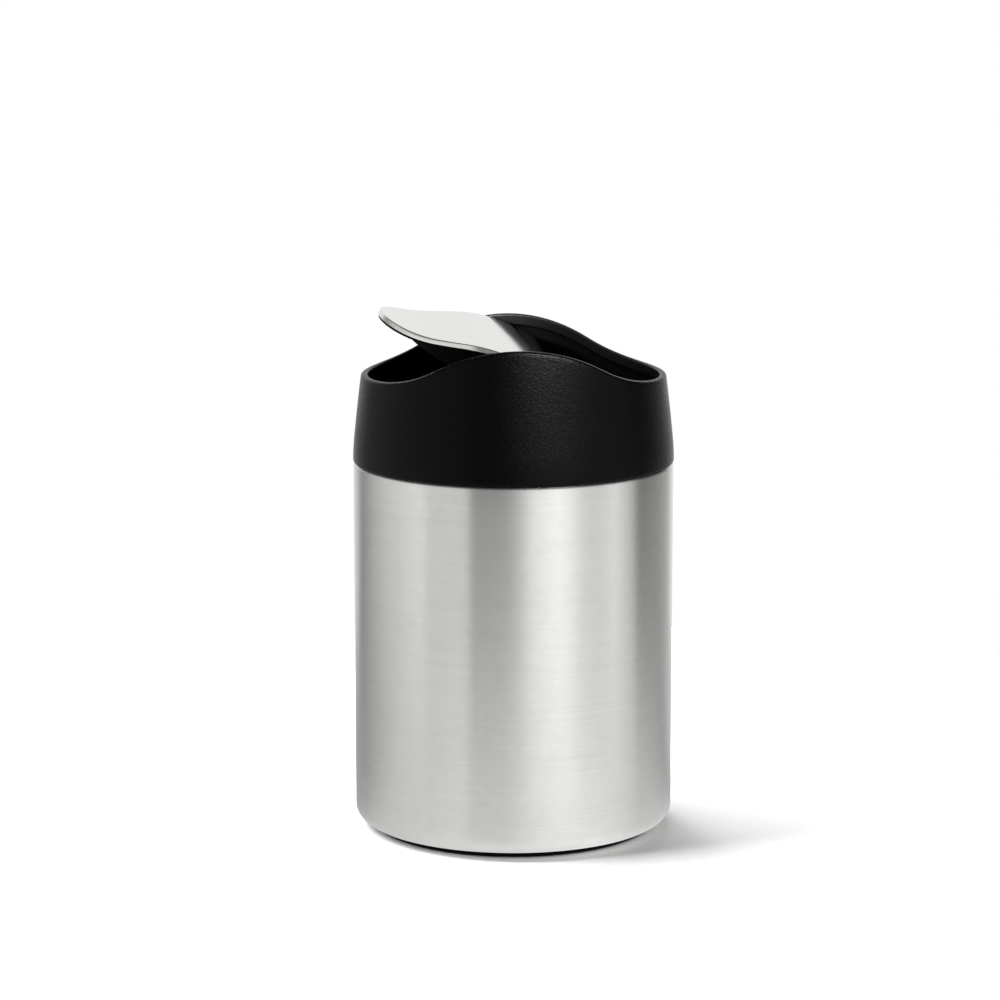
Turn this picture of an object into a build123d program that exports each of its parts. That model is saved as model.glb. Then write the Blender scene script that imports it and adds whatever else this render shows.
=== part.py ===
from build123d import *

import os
from dataclasses import dataclass
from math import cos, radians, sin, sqrt

# ---------------------------------------------------------------------------
# Push top countertop bin: a steel drum with a see-saw lid in a black ring.
# Millimetres and degrees. The floor is z = 0 and the drum's axis is the z axis.
# The lid's pivot axis runs front to back, along y. The front is -y.
# ---------------------------------------------------------------------------

# Driving dimensions of the drum
BODY_RADIUS = 60.0
SEAM_HEIGHT = 139.5          # where the ring sits on the steel
STEEL_THICKNESS = 0.7
STEEL_FOOT = 2.6             # the steel stops this far above the floor
CORNER_RADIUS = 5.0          # round at the foot of the drum
FOOT_HEM_RADIUS = 53.3       # the steel turns up here, round the base pan
FOOT_HEM_TOP = 7.0
MOUTH_HEM_RADIUS = 57.3      # the steel turns down here, at the mouth
MOUTH_HEM_DEPTH = 2.1

# Base
BASE_GAP = 0.1
BASE_BOTTOM = 0.5
BASE_TOP = 9.0
FOOT_RING_OUTER = 52.4
FOOT_RING_INNER = 49.0
FOOT_RING_TOP = 2.0
BASE_RIBS = 8
BASE_RIB_THICKNESS = 1.4
BASE_RIB_BOTTOM = 4.0
BASE_HUB_INNER = 7.0
BASE_HUB_OUTER = 8.6
BASE_HUB_BOTTOM = 3.0

# Collar in the drum's mouth, which the bucket hangs on
COLLAR_BOTTOM = 121.0
LEDGE_TOP = 129.0
LEDGE_RADIUS = 54.6
COLLAR_DROP = 1.0            # the collar's top below the seam
COLLAR_WALL = 1.4

# Bucket
BUCKET_WALL = 1.5
BUCKET_TOP_RADIUS = 54.2
BUCKET_FOOT_RADIUS = 50.0
BUCKET_FOOT = 10.5
FLANGE_RADIUS = 56.8
FLANGE_THICKNESS = 1.6
NOTCH_RADIUS = 7.0           # finger notches in the bucket's flange
NOTCH_CIRCLE = 62.0

# Ring
RING_FOOT_RADIUS = 60.2
RING_FOOT_CURVE = 90.0       # radius of the barrel curve at the ring's foot
RING_LEAN = 5.5              # lean of the wall where the two curves meet
RING_SIDE_CURVE = 700.0      # radius of the long curve above
RING_EDGE_ROUND = 1.0
LIP_THICKNESS = 2.6
LIP_BAND = 4.2               # height of the thick lip, below the rim
LIP_ROUND = 0.9
WALL_THICKNESS = 1.5
SKIRT_OUTER = 56.9
SKIRT_INNER = 55.2
SKIRT_BOTTOM = 131.1
SHOULDER_THICKNESS = 2.0     # the ring's foot, from its wall in to the skirt
GRIP_BOTTOM = 133.5          # soft band in a groove round the skirt
GRIP_TOP = 136.0
GRIP_GROOVE_DEPTH = 0.8
GRIP_PROUD = 0.15

# Liner
LINER_GAP = 0.1
LINER_THICKNESS = 1.2
LINER_BAND_BOTTOM = 161.0
LINER_NECK_TOP = 151.0
LINER_NECK_RADIUS = 50.0
LINER_BOTTOM = 126.0
LINER_TOP_DROP = 8.6         # the liner stops this far below the rim
LINER_FLANGE_BOTTOM = 141.7
LINER_FLANGE_TOP = 143.2

# Screws that hold the liner up against bosses in the ring
SCREW_CIRCLE = 52.9
SCREW_ANGLES = (45, 135, 225, 315)
SCREW_RADIUS = 1.1
SCREW_HEAD_RADIUS = 1.9
SCREW_HEAD_HEIGHT = 1.3
SCREW_SLOT = (2.2, 0.5, 1.0)
SCREW_END = 149.0
SCREW_BOSS_RADIUS = 2.2
SCREW_BOSS_BOTTOM = 143.3
SCREW_BOSS_TOP = 150.6
SCREW_HOLE_END = 149.6

# Lid, in its own frame: the pivot axis is y and the closed lid is level
PIVOT_HEIGHT = 178.8
LID_TILT = 26.7              # the lid stands pushed open by this much
LID_TRAVEL = 62.0            # how far it swings either way from closed
LID_HALF_LENGTH = 52.7       # along x
LID_HALF_WIDTH = 51.5        # along y
LID_CREST = 5.15             # crest of the skin above the pivot
SKIN_THICKNESS = 0.7
SKIN_EDGE_ROUND = 0.6
HEM_DEPTH = 1.9
HEM_THICKNESS = 0.8
CARRIER_GAP = 0.1            # between the carrier's edge and the hem
CARRIER_PLATE = 2.1
CARRIER_OVERLAP = 0.5        # how far what hangs from the plate reaches into it
CARRIER_SKIRT_INSET = 14.7
CARRIER_SKIRT_WALL = 1.6
CARRIER_SKIRT_BOTTOM = -10.5
CUP_RADIUS = 17.0
CUP_WALL = 1.7
CUP_BOTTOM = -16.6
WEIGHT_TOP = -6.5
WEIGHT_RADIUS = 15.0
COVER_THICKNESS = 1.6
COVER_SPIGOT = 1.5
LUG_ANGLES = (90, 210, 330)
LUG_CIRCLE = 18.2
LUG_RADIUS = 2.4
LUG_HEIGHT = 8.0
COVER_SCREW_RADIUS = 0.9
COVER_SCREW_HEAD = 1.7

# Pivots
PIN_RADIUS = 1.5
PIN_INNER_END = 30.0
PIN_OUTER_END = 50.0
PIN_GROOVE_START = 31.2
PIN_GROOVE_WIDTH = 0.6
PIN_GROOVE_DEPTH = 0.4
CLIP_RADIUS = 2.1
CLIP_RECESS_START = 28.0     # room for the clips in the bosses' inner ends
BUSH_CLEARANCE = 0.06
BUSH_RADIUS = 2.4
BUSH_FLANGE = 0.6
TOWER_INNER = 46.9
TOWER_OUTER = 50.2
TOWER_HEAD = 3.2
POST_SHOULDER = 0.1          # how far off the pivot each shoulder's plane passes
LINK_SHOULDER = 1.4
SHOULDER_DEPTH = 11.5
POST_FOOT = 24.0
LINK_OUTER = 54.0
BOSS_RADIUS = 3.6
BOSS_INNER_END = 33.0
BOSS_OUTER_END = 46.0
PAD_SIZE = (3.6, 2.0, 0.75)
PAD_PLACE = (10.4, 48.0)     # along the shoulder and along the pivot axis

REACH = 80.0                 # further out than any piece of the bin
TOP = 200.0                  # higher than the ring's rim
DEEP = 30.0                  # above and below all of the lid, in its own frame


@dataclass(frozen=True)
class Wave:
    """A crest arc, a straight flank and a trough arc, level beyond them."""

    crest: float
    crest_radius: float
    slope: float
    flank: float
    trough_radius: float


RIM_WAVE = Wave(crest=188.0, crest_radius=60.0, slope=29.0, flank=3.4, trough_radius=50.0)
LID_WAVE = Wave(crest=LID_CREST, crest_radius=63.0, slope=21.2, flank=8.6, trough_radius=58.0)


# ---------------------------------------------------------------------------
# Shared shapes
# ---------------------------------------------------------------------------


def turned(corners, rounds=None):
    """Turn a closed outline of (radius, height) corners, with rounded corners by index."""
    face = make_face(Polyline(*corners, close=True))
    for index, radius in (rounds or {}).items():
        corner = face.vertices().sort_by_distance((*corners[index], 0))[0]
        face = fillet(corner, radius)
    return revolve(Plane.XZ * face, Axis.Z)


def washer(inner, outer, bottom, top):
    """A plain ring about the drum's axis."""
    return turned([(inner, bottom), (outer, bottom), (outer, top), (inner, top)])


def under_wave(wave, floor, drop=0.0):
    """Everything from the level floor up to the wave, lowered by drop."""
    crest = JernArc((0, wave.crest - drop), (1, 0), wave.crest_radius, -wave.slope)
    flank = Line(crest @ 1, crest @ 1 + (crest % 1) * wave.flank)
    trough = JernArc(flank @ 1, flank % 1, wave.trough_radius, wave.slope)
    level = (trough @ 1).Y
    side = Polyline(trough @ 1, (REACH, level), (REACH, floor), (0, floor), (0, wave.crest - drop))
    half = make_face([crest, flank, trough, *side.edges()])
    face = half + mirror(half, about=Plane.YZ)
    return extrude(Plane.XZ * face, REACH, both=True)


def oval(half_length, half_width, bottom, top):
    """An upright oval block about the drum's axis."""
    return Pos(0, 0, bottom) * extrude(Ellipse(half_length, half_width), top - bottom)


def oval_wall(inset, thickness, bottom, top):
    """An oval wall that runs round inside the lid's outline."""
    outer = oval(LID_HALF_LENGTH - inset, LID_HALF_WIDTH - inset, bottom, top)
    inner_inset = inset + thickness
    inner = oval(LID_HALF_LENGTH - inner_inset, LID_HALF_WIDTH - inner_inset, bottom, top)
    return outer - inner


def bar_y(radius, start, end):
    """A round bar along y."""
    return Pos(0, (start + end) / 2, 0) * Rot(90, 0, 0) * Cylinder(radius, end - start)


def post_z(radius, bottom, top):
    """A round upright bar."""
    return Pos(0, 0, (bottom + top) / 2) * Cylinder(radius, top - bottom)


def box_between(low, high):
    """A box from its low corner to its high corner."""
    size = [top - bottom for bottom, top in zip(low, high)]
    return Pos(*low) * Box(*size, align=(Align.MIN, Align.MIN, Align.MIN))


def around(angles, radius, piece):
    """Copies of a piece, placed on a circle about the drum's axis."""
    return [Rot(0, 0, angle) * Pos(radius, 0, 0) * piece for angle in angles]


def flank_radius(height, inset=0.0):
    """The ring's outside radius at a height, moved inwards by inset."""
    lean = radians(RING_LEAN)
    foot_end_radius = RING_FOOT_RADIUS - RING_FOOT_CURVE * (1 - cos(lean))
    foot_end_height = SEAM_HEIGHT + RING_FOOT_CURVE * sin(lean)
    centre_radius = foot_end_radius - RING_SIDE_CURVE * cos(lean)
    centre_height = foot_end_height - RING_SIDE_CURVE * sin(lean)
    return centre_radius + sqrt((RING_SIDE_CURVE - inset) ** 2 - (height - centre_height) ** 2)


def flank_arc(bottom, top, inset=0.0):
    """The ring's long curve between two heights, moved inwards by inset."""
    heights = (bottom, (bottom + top) / 2, top)
    return ThreePointArc(*[(flank_radius(height, inset), height) for height in heights])


def in_lid_place(piece):
    """Move a piece from the lid's own frame to where the pushed lid stands."""
    return Pos(0, 0, PIVOT_HEIGHT) * Rot(0, LID_TILT, 0) * piece


# ---------------------------------------------------------------------------
# Drum
# ---------------------------------------------------------------------------


def outer_shell():
    """Steel tube, hemmed inwards at the mouth and turned up round the base."""
    steel = STEEL_THICKNESS
    wall = BODY_RADIUS - steel
    floor = STEEL_FOOT + steel
    ceiling = SEAM_HEIGHT - steel
    hem_end = SEAM_HEIGHT - MOUTH_HEM_DEPTH
    corners = [
        (FOOT_HEM_RADIUS, FOOT_HEM_TOP),
        (FOOT_HEM_RADIUS, STEEL_FOOT),
        (BODY_RADIUS, STEEL_FOOT),
        (BODY_RADIUS, SEAM_HEIGHT),
        (MOUTH_HEM_RADIUS, SEAM_HEIGHT),
        (MOUTH_HEM_RADIUS, hem_end),
        (MOUTH_HEM_RADIUS + steel, hem_end),
        (MOUTH_HEM_RADIUS + steel, ceiling),
        (wall, ceiling),
        (wall, floor),
        (FOOT_HEM_RADIUS + steel, floor),
        (FOOT_HEM_RADIUS + steel, FOOT_HEM_TOP),
    ]
    rounds = {1: 0.9, 2: CORNER_RADIUS, 3: 1.1, 4: 0.9}
    inner_rounds = {7: 0.2, 8: 0.4, 9: CORNER_RADIUS - steel, 10: 0.2}
    return turned(corners, rounds | inner_rounds)


def mouth_collar():
    """Plastic collar hung in the steel's mouth hem, with the bucket's ledge."""
    hem_inside = MOUTH_HEM_RADIUS + STEEL_THICKNESS + BASE_GAP
    outer = BODY_RADIUS - STEEL_THICKNESS - BASE_GAP
    hem_end = SEAM_HEIGHT - MOUTH_HEM_DEPTH - BASE_GAP
    corners = [
        (hem_inside, SEAM_HEIGHT - COLLAR_DROP),
        (outer, SEAM_HEIGHT - COLLAR_DROP),
        (outer, COLLAR_BOTTOM),
        (outer - COLLAR_WALL, COLLAR_BOTTOM),
        (outer - COLLAR_WALL - 0.5, LEDGE_TOP - 4.5),
        (LEDGE_RADIUS, LEDGE_TOP - 2.2),
        (LEDGE_RADIUS, LEDGE_TOP),
        (MOUTH_HEM_RADIUS, LEDGE_TOP),
        (MOUTH_HEM_RADIUS, hem_end),
        (hem_inside, hem_end),
    ]
    return turned(corners, {1: 0.5})


def base_pan():
    """Plastic base, clamped by the steel, with a groove and ribs underneath."""
    wall = FOOT_HEM_RADIUS - BASE_GAP
    flange = BODY_RADIUS - STEEL_THICKNESS - 0.4
    step = FOOT_HEM_TOP + BASE_GAP
    groove_wall = FOOT_RING_INNER - 1.6
    corners = [
        (0, BASE_TOP),
        (flange, BASE_TOP),
        (flange, step),
        (wall, step),
        (wall, BASE_BOTTOM),
        (FOOT_RING_OUTER, BASE_BOTTOM),
        (FOOT_RING_OUTER, FOOT_RING_TOP),
        (FOOT_RING_INNER, FOOT_RING_TOP),
        (FOOT_RING_INNER, BASE_BOTTOM),
        (groove_wall, BASE_BOTTOM),
        (groove_wall, step),
        (0, step),
    ]
    hub = washer(BASE_HUB_INNER, BASE_HUB_OUTER, BASE_HUB_BOTTOM, step)
    half = BASE_RIB_THICKNESS / 2
    rib = box_between((BASE_HUB_OUTER - half, -half, BASE_RIB_BOTTOM), (groove_wall + half, half, step))
    pan = turned(corners) + hub
    for index in range(BASE_RIBS):
        pan += Rot(0, 0, index * 360 / BASE_RIBS) * rib
    return pan


def foot_ring():
    """Soft non-slip ring that the bin stands on."""
    corners = [
        (FOOT_RING_INNER, FOOT_RING_TOP),
        (FOOT_RING_INNER, 0),
        (FOOT_RING_OUTER, 0),
        (FOOT_RING_OUTER, FOOT_RING_TOP),
    ]
    return turned(corners, {1: 0.4, 2: 0.4})


def inner_bucket():
    """Tapered bucket that hangs by its flange and lifts out by two notches."""
    flange_bottom = LEDGE_TOP + 0.05
    flange_top = flange_bottom + FLANGE_THICKNESS
    corners = [
        (0, BUCKET_FOOT),
        (BUCKET_FOOT_RADIUS, BUCKET_FOOT),
        (BUCKET_TOP_RADIUS, flange_bottom),
        (FLANGE_RADIUS, flange_bottom),
        (FLANGE_RADIUS, flange_top),
        (BUCKET_TOP_RADIUS - BUCKET_WALL, flange_top),
        (BUCKET_FOOT_RADIUS - BUCKET_WALL, BUCKET_FOOT + BUCKET_WALL),
        (0, BUCKET_FOOT + BUCKET_WALL),
    ]
    bucket = turned(corners, {1: 6.0, 6: 4.5, 4: 0.5, 5: 0.5})
    notch = Pos(0, 0, flange_top) * Cylinder(NOTCH_RADIUS, 4 * FLANGE_THICKNESS)
    for cut in around((0, 180), NOTCH_CIRCLE, notch):
        bucket -= cut
    return bucket


# ---------------------------------------------------------------------------
# Ring
# ---------------------------------------------------------------------------


def flank_shell(outer_inset, inner_inset, bottom):
    """A shell that follows the ring's outside, between two insets."""
    outer = flank_arc(bottom, TOP, outer_inset)
    inner = flank_arc(bottom, TOP, inner_inset)
    face = make_face([outer, inner, Line(outer @ 0, inner @ 0), Line(outer @ 1, inner @ 1)])
    return revolve(Plane.XZ * face, Axis.Z)


def ring_foot():
    """The barrel-curved foot of the ring, its shoulder and its plug skirt."""
    meet = SEAM_HEIGHT + RING_FOOT_CURVE * sin(radians(RING_LEAN))
    side = JernArc((RING_FOOT_RADIUS, SEAM_HEIGHT), (0, 1), RING_FOOT_CURVE, RING_LEAN)
    shoulder = SEAM_HEIGHT + SHOULDER_THICKNESS
    wall = flank_radius(meet, WALL_THICKNESS)
    rest = Polyline(
        side @ 1,
        (wall, meet),
        (wall + 0.3, shoulder),
        (SKIRT_INNER, shoulder),
        (SKIRT_INNER, SKIRT_BOTTOM),
        (SKIRT_OUTER - 0.6, SKIRT_BOTTOM),
        (SKIRT_OUTER, SKIRT_BOTTOM + 1.2),
        (SKIRT_OUTER, SEAM_HEIGHT),
        side @ 0,
    )
    face = make_face([side, *rest.edges()])
    edge = face.vertices().sort_by_distance((RING_FOOT_RADIUS, SEAM_HEIGHT, 0))[0]
    return revolve(Plane.XZ * fillet(edge, RING_EDGE_ROUND), Axis.Z)


def ring_boss():
    """One screw boss and the web that ties it to the ring's wall."""
    boss = post_z(SCREW_BOSS_RADIUS, SCREW_BOSS_BOTTOM, SCREW_BOSS_TOP)
    wall = flank_radius(SCREW_BOSS_TOP, WALL_THICKNESS) + 0.5
    web = box_between((1.6, -0.8, SCREW_BOSS_BOTTOM), (wall - SCREW_CIRCLE, 0.8, SCREW_BOSS_TOP))
    return boss + web - post_z(SCREW_RADIUS, SCREW_BOSS_BOTTOM, SCREW_HOLE_END)


def grip_groove():
    """The groove round the plug skirt that holds the grip band."""
    return washer(SKIRT_OUTER - GRIP_GROOVE_DEPTH, REACH, GRIP_BOTTOM, GRIP_TOP)


def rim_ring():
    """The black ring: tapered wall, wavy rim, thick lip with an undercut."""
    meet = SEAM_HEIGHT + RING_FOOT_CURVE * sin(radians(RING_LEAN))
    wall = flank_shell(0, LIP_THICKNESS, meet) & under_wave(RIM_WAVE, SEAM_HEIGHT)
    relief = flank_shell(WALL_THICKNESS, LIP_THICKNESS + 1, meet)
    relief &= under_wave(RIM_WAVE, SEAM_HEIGHT, LIP_BAND)
    ring = wall - relief
    rim = ring.edges().filter_by(lambda edge: on_wave(edge, RIM_WAVE))
    ring = fillet(rim, LIP_ROUND)
    ring += ring_foot() - grip_groove()
    for boss in around(SCREW_ANGLES, SCREW_CIRCLE, ring_boss()):
        ring += boss
    return ring


def wave_height(wave, x):
    """Height of a wave at a distance from its crest."""
    x = abs(x)
    slope = radians(wave.slope)
    crest_end = wave.crest_radius * sin(slope)
    flank_end = crest_end + wave.flank * cos(slope)
    trough_end = flank_end + wave.trough_radius * sin(slope)
    crest_drop = wave.crest_radius * (1 - cos(slope))
    total_drop = crest_drop + wave.flank * sin(slope) + wave.trough_radius * (1 - cos(slope))
    if x < crest_end:
        return wave.crest - wave.crest_radius + sqrt(wave.crest_radius**2 - x**2)
    if x < flank_end:
        return wave.crest - crest_drop - (x - crest_end) * sin(slope) / cos(slope)
    rest = max(trough_end - x, 0)
    return wave.crest - total_drop + wave.trough_radius - sqrt(wave.trough_radius**2 - rest**2)


def on_wave(edge, wave):
    """Whether an edge lies along a wave from end to end."""
    return all(abs((edge @ part).Z - wave_height(wave, (edge @ part).X)) < 0.02 for part in (0, 0.5, 1))


def grip_band():
    """Soft band that takes up the play between the ring and the collar."""
    return washer(SKIRT_OUTER - GRIP_GROOVE_DEPTH, SKIRT_OUTER + GRIP_PROUD, GRIP_BOTTOM, GRIP_TOP)


def liner_profile():
    """Funnel wall: a band that follows the ring, a cone and a neck."""
    outer_inset = WALL_THICKNESS + LINER_GAP
    inner_inset = outer_inset + LINER_THICKNESS
    outer = flank_arc(LINER_BAND_BOTTOM, TOP, outer_inset)
    inner = flank_arc(LINER_BAND_BOTTOM, TOP, inner_inset)
    neck = LINER_NECK_RADIUS - LINER_THICKNESS
    cone = Polyline(
        inner @ 0,
        (neck, LINER_NECK_TOP),
        (neck, LINER_BOTTOM),
        (LINER_NECK_RADIUS, LINER_BOTTOM),
        (LINER_NECK_RADIUS, LINER_NECK_TOP),
        outer @ 0,
    )
    return make_face([outer, inner, Line(outer @ 1, inner @ 1), *cone.edges()])


def tower_slope(distance, depth):
    """Half width of a post at a depth, for a shoulder plane at a distance from the pivot."""
    turn = radians(LID_TRAVEL)
    return (distance + depth * cos(turn)) / sin(turn)


def post_outline(distance, head_depth, foot_depth):
    """Outline of a post: shoulders at the lid's last angle, then upright sides."""
    head = tower_slope(distance, head_depth)
    shoulder = tower_slope(POST_SHOULDER, SHOULDER_DEPTH)
    outline = Polyline(
        (head, -head_depth),
        (shoulder, -SHOULDER_DEPTH),
        (shoulder, -foot_depth),
        (-shoulder, -foot_depth),
        (-shoulder, -SHOULDER_DEPTH),
        (-head, -head_depth),
        close=True,
    )
    return Plane.XZ * make_face(outline)


def tower():
    """Bearing post for one pivot, with sloped shoulders that stop the lid."""
    post = extrude(post_outline(POST_SHOULDER, 1.0, POST_FOOT), TOWER_OUTER - TOWER_INNER)
    link = extrude(post_outline(LINK_SHOULDER, 2.5, POST_FOOT), LINK_OUTER - TOWER_OUTER + 0.5)
    head = bar_y(TOWER_HEAD, TOWER_INNER, TOWER_OUTER)
    pieces = Pos(0, TOWER_OUTER, 0) * post + Pos(0, LINK_OUTER, 0) * link + head
    return Pos(0, 0, PIVOT_HEIGHT) * pieces


def chute_liner():
    """Funnel inside the ring, with both bearing posts and the screw flange."""
    liner = revolve(Plane.XZ * liner_profile(), Axis.Z)
    liner &= under_wave(RIM_WAVE, 100.0, LINER_TOP_DROP)
    liner += washer(LINER_NECK_RADIUS - 0.5, SKIRT_INNER - 0.3, LINER_FLANGE_BOTTOM, LINER_FLANGE_TOP)
    inside = revolve(Plane.XZ * liner_core(), Axis.Z)
    for turn in (0, 180):
        liner += (Rot(0, 0, turn) * tower()) & inside
        liner -= Rot(0, 0, turn) * Pos(0, 0, PIVOT_HEIGHT) * bar_y(BUSH_RADIUS, 40.0, TOWER_OUTER)
    hole = post_z(SCREW_RADIUS, LINER_FLANGE_BOTTOM - 1, LINER_FLANGE_TOP + 1)
    for cut in around(SCREW_ANGLES, SCREW_CIRCLE, hole):
        liner -= cut
    return liner


def liner_core():
    """Section of the space inside the liner's outside face."""
    outer = flank_arc(LINER_BAND_BOTTOM, TOP, WALL_THICKNESS + LINER_GAP + 0.3)
    rest = Polyline(
        outer @ 1,
        (0, TOP),
        (0, LINER_BOTTOM),
        (LINER_NECK_RADIUS - 0.3, LINER_BOTTOM),
        (LINER_NECK_RADIUS - 0.3, LINER_NECK_TOP),
        outer @ 0,
    )
    return make_face([outer, *rest.edges()])


def bush(turn):
    """Flanged plain bearing in one bearing post."""
    sleeve = bar_y(BUSH_RADIUS, TOWER_INNER - BUSH_FLANGE, TOWER_OUTER)
    flange = bar_y(TOWER_HEAD - 0.1, TOWER_INNER - BUSH_FLANGE, TOWER_INNER)
    bore = bar_y(PIN_RADIUS + BUSH_CLEARANCE, 40.0, TOWER_OUTER + 1)
    return Rot(0, 0, turn) * Pos(0, 0, PIVOT_HEIGHT) * (sleeve + flange - bore)


def liner_screws():
    """Four screws that hold the liner up against the ring's bosses."""
    seat = LINER_FLANGE_BOTTOM - 0.05
    head_bottom = seat - SCREW_HEAD_HEIGHT
    head = post_z(SCREW_HEAD_RADIUS, head_bottom, seat)
    shank = post_z(SCREW_RADIUS, head_bottom, SCREW_END)
    slot = Pos(0, 0, head_bottom) * Box(*SCREW_SLOT)
    screw = head + shank - slot - Rot(0, 0, 90) * slot
    return Compound(around(SCREW_ANGLES, SCREW_CIRCLE, screw))


def stop_pads():
    """Four soft pads on the posts' shoulders, where the carrier lands."""
    pad = Box(*PAD_SIZE)
    along, across = PAD_PLACE
    height = POST_SHOULDER + PAD_SIZE[2] / 2
    pads = []
    for turn in (0, 180):
        for side in (-1, 1):
            place = Rot(0, side * LID_TRAVEL, 0) * Pos(side * along, across, height)
            pads.append(Rot(0, 0, turn) * Pos(0, 0, PIVOT_HEIGHT) * place * pad)
    return Compound(pads)


# ---------------------------------------------------------------------------
# Lid, drawn in its own frame
# ---------------------------------------------------------------------------


def wave_sheet(top_drop, bottom_drop):
    """A sheet that follows the lid's wave between two depths."""
    return under_wave(LID_WAVE, -DEEP, top_drop) - under_wave(LID_WAVE, -DEEP, bottom_drop)


def under_plate():
    """The space below the carrier's plate, reaching a little into it."""
    return under_wave(LID_WAVE, -DEEP, SKIN_THICKNESS + CARRIER_OVERLAP)


def lid_skin():
    """Polished steel skin with its edge turned down in a hem."""
    face = wave_sheet(0, SKIN_THICKNESS) & oval(LID_HALF_LENGTH, LID_HALF_WIDTH, -DEEP, DEEP)
    hem = wave_sheet(0, HEM_DEPTH) & oval_wall(0, HEM_THICKNESS, -DEEP, DEEP)
    skin = face + hem
    edge = skin.edges().filter_by(lambda item: on_wave(item, LID_WAVE))
    return fillet(edge, SKIN_EDGE_ROUND)


def carrier_shell():
    """The carrier's plate and the skirt that stiffens it."""
    inset = HEM_THICKNESS + CARRIER_GAP
    outline = oval(LID_HALF_LENGTH - inset, LID_HALF_WIDTH - inset, -DEEP, DEEP)
    plate = wave_sheet(SKIN_THICKNESS, SKIN_THICKNESS + CARRIER_PLATE) & outline
    skirt = oval_wall(CARRIER_SKIRT_INSET, CARRIER_SKIRT_WALL, CARRIER_SKIRT_BOTTOM, DEEP)
    return plate + (skirt & under_plate())


def carrier_ribs():
    """Ribs from the weight cup to the skirt and the pivot bosses."""
    inset = CARRIER_SKIRT_INSET + CARRIER_SKIRT_WALL / 2
    length = LID_HALF_LENGTH - inset
    width = LID_HALF_WIDTH - inset
    bottom = CARRIER_SKIRT_BOTTOM + 1
    ribs = box_between((-length, -0.8, bottom), (length, 0.8, DEEP))
    ribs += box_between((-2.0, -width, bottom), (2.0, width, DEEP))
    for turn in (45, -45):
        ribs += Rot(0, 0, turn) * box_between((-width, -0.7, bottom + 1), (width, 0.7, DEEP))
    return ribs & under_plate()


def cup_hollow():
    """The cup's inside, crossed above the weight by two ribs that hold it down."""
    plate_drop = SKIN_THICKNESS + CARRIER_PLATE
    hollow = post_z(CUP_RADIUS - CUP_WALL, CUP_BOTTOM, DEEP)
    hollow &= under_wave(LID_WAVE, -DEEP, plate_drop)
    rib = box_between((-CUP_RADIUS, -0.7, WEIGHT_TOP), (CUP_RADIUS, 0.7, DEEP))
    return hollow - rib - Rot(0, 0, 90) * rib


def cup_lug():
    """One screw lug on the weight cup."""
    return post_z(LUG_RADIUS, CUP_BOTTOM, CUP_BOTTOM + LUG_HEIGHT)


def lid_carrier():
    """Black moulding under the skin: plate, skirt, ribs, bosses and weight cup."""
    carrier = carrier_shell() + carrier_ribs()
    carrier += post_z(CUP_RADIUS, CUP_BOTTOM, DEEP) & under_plate()
    for lug in around(LUG_ANGLES, LUG_CIRCLE, cup_lug()):
        carrier += lug
    carrier -= cup_hollow()
    boss = bar_y(BOSS_RADIUS, BOSS_INNER_END, BOSS_OUTER_END)
    post_room = box_between((-9, BOSS_OUTER_END, -12), (9, REACH, 10))
    clip_room = box_between((-4, CLIP_RECESS_START, -12), (4, BOSS_INNER_END, 2.2))
    bore = bar_y(PIN_RADIUS, CLIP_RECESS_START, REACH)
    for turn in (0, 180):
        carrier += Rot(0, 0, turn) * boss
        carrier -= Rot(0, 0, turn) * (post_room + clip_room + bore)
    hole = post_z(COVER_SCREW_RADIUS, CUP_BOTTOM - 1, CUP_BOTTOM + 6)
    for cut in around(LUG_ANGLES, LUG_CIRCLE, hole):
        carrier -= cut
    return carrier


def pivot_pin(turn):
    """Steel pivot pin with a clip groove at its inner end."""
    pin = bar_y(PIN_RADIUS, PIN_INNER_END, PIN_OUTER_END)
    pin = chamfer(pin.edges().group_by(Axis.Y)[-1], 0.3)
    return Rot(0, 0, turn) * (pin - groove_ring(PIN_RADIUS + 1))


def groove_ring(radius):
    """A ring that fills the clip groove, out to a radius."""
    end = PIN_GROOVE_START + PIN_GROOVE_WIDTH
    return bar_y(radius, PIN_GROOVE_START, end) - bar_y(PIN_RADIUS - PIN_GROOVE_DEPTH, PIN_GROOVE_START, end)


def pin_clips():
    """One retaining clip in the groove of each pin."""
    mouth = box_between((-0.9, PIN_GROOVE_START, -4), (0.9, BOSS_INNER_END, 0))
    clip = groove_ring(CLIP_RADIUS) - mouth
    return Compound([Rot(0, 0, turn) * clip for turn in (0, 180)])


def balance_weight():
    """Steel disc that brings the lid back to level."""
    disc = post_z(WEIGHT_RADIUS, CUP_BOTTOM + COVER_SPIGOT + 0.1, WEIGHT_TOP)
    return chamfer(disc.edges(), 0.5)


def weight_cover():
    """Cap under the weight cup, with three screw ears."""
    bottom = CUP_BOTTOM - COVER_THICKNESS
    cap = post_z(CUP_RADIUS, bottom, CUP_BOTTOM)
    for ear in around(LUG_ANGLES, LUG_CIRCLE, post_z(LUG_RADIUS, bottom, CUP_BOTTOM)):
        cap += ear
    hole = post_z(COVER_SCREW_RADIUS, bottom - 1, CUP_BOTTOM + 1)
    for cut in around(LUG_ANGLES, LUG_CIRCLE, hole):
        cap -= cut
    return cap + washer(WEIGHT_RADIUS - COVER_SPIGOT, WEIGHT_RADIUS, CUP_BOTTOM, CUP_BOTTOM + COVER_SPIGOT)


def cover_screws():
    """Three screws that hold the weight cover."""
    seat = CUP_BOTTOM - COVER_THICKNESS
    head = post_z(COVER_SCREW_HEAD, seat - 1.0, seat)
    shank = post_z(COVER_SCREW_RADIUS, seat, seat + 4.8)
    return Compound(around(LUG_ANGLES, LUG_CIRCLE, head + shank))


# ---------------------------------------------------------------------------
# Every piece, under the name it is filed by
# ---------------------------------------------------------------------------

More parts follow.
